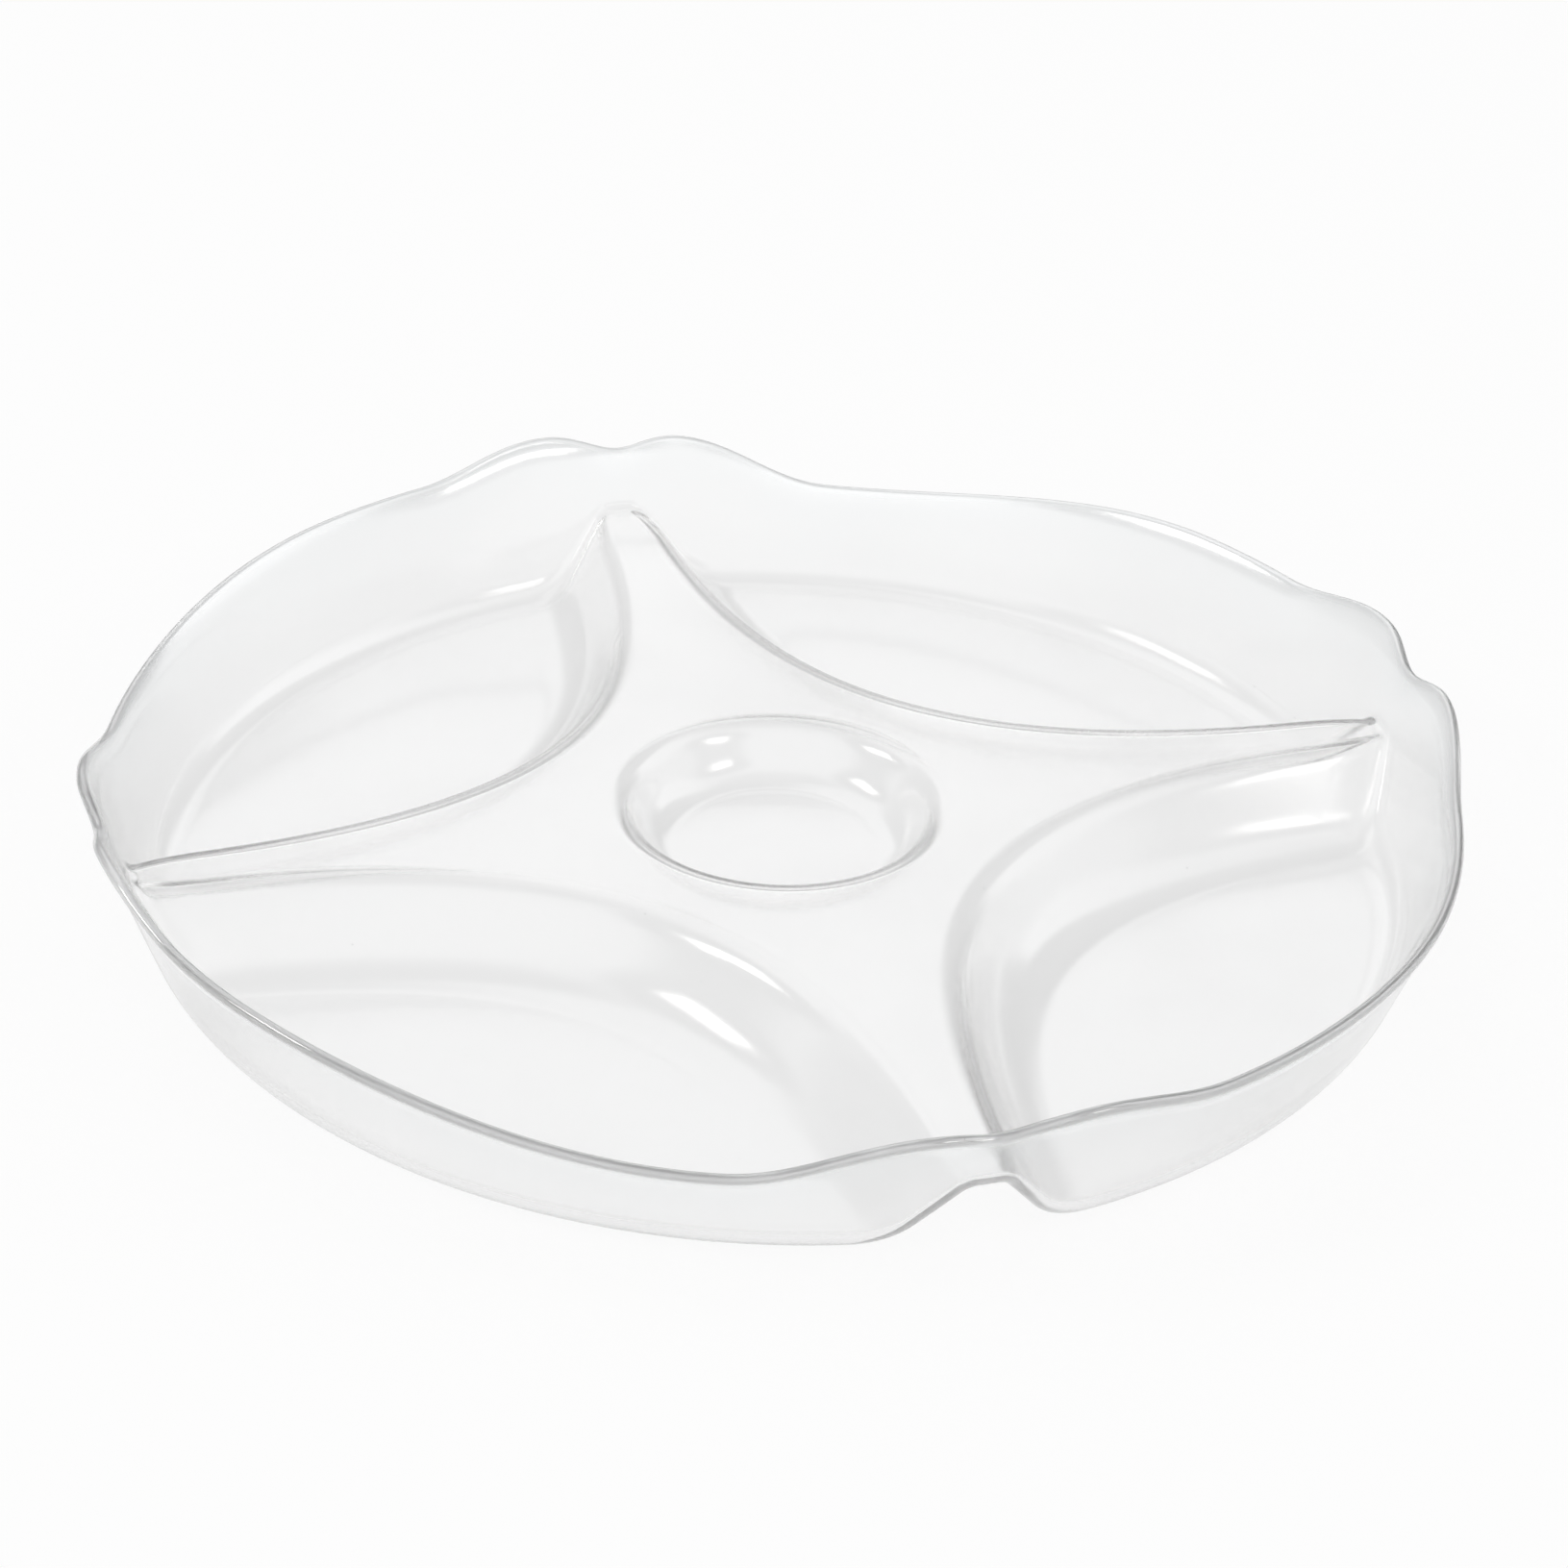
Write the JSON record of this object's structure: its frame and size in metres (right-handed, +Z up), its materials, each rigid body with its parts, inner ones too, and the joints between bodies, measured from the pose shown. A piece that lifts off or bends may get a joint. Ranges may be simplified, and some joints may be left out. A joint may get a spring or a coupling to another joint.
{
  "type": "candy dish",
  "caption": "Round clear moulded candy dish with a wavy rim, divided into outer wells by a raised star with a round dip cup in its middle.",
  "frame": {"origin": "centre of the base, on the plane of the undersides of the well floors", "axes": "+Z up out of the wells; the star's arms lie along X and Y"},
  "size_m": [0.2842, 0.2842, 0.0358],
  "materials": {
    "clear_plastic": "clear, polished, as moulded"
  },
  "bodies": {
    "root": {"dip_cup_floor": "clear_plastic", "star_plateau": "clear_plastic", "divider_arm_right": "clear_plastic", "rim_arch_right": "clear_plastic", "divider_arm_back": "clear_plastic", "rim_arch_back": "clear_plastic", "divider_arm_left": "clear_plastic", "rim_arch_left": "clear_plastic", "divider_arm_front": "clear_plastic", "rim_arch_front": "clear_plastic", "well_floor_back_right": "clear_plastic", "rim_wall_back_right": "clear_plastic", "dip_cup_wall_back_right": "clear_plastic", "well_inner_wall_back_right_at_right_arm": "clear_plastic", "well_inner_wall_back_right_at_back_arm": "clear_plastic", "well_floor_back_left": "clear_plastic", "rim_wall_back_left": "clear_plastic", "dip_cup_wall_back_left": "clear_plastic", "well_inner_wall_back_left_at_back_arm": "clear_plastic", "well_inner_wall_back_left_at_left_arm": "clear_plastic", "well_floor_front_left": "clear_plastic", "rim_wall_front_left": "clear_plastic", "dip_cup_wall_front_left": "clear_plastic", "well_inner_wall_front_left_at_left_arm": "clear_plastic", "well_inner_wall_front_left_at_front_arm": "clear_plastic", "well_floor_front_right": "clear_plastic", "rim_wall_front_right": "clear_plastic", "dip_cup_wall_front_right": "clear_plastic", "well_inner_wall_front_right_at_front_arm": "clear_plastic", "well_inner_wall_front_right_at_right_arm": "clear_plastic"}
  },
  "joints": []
}
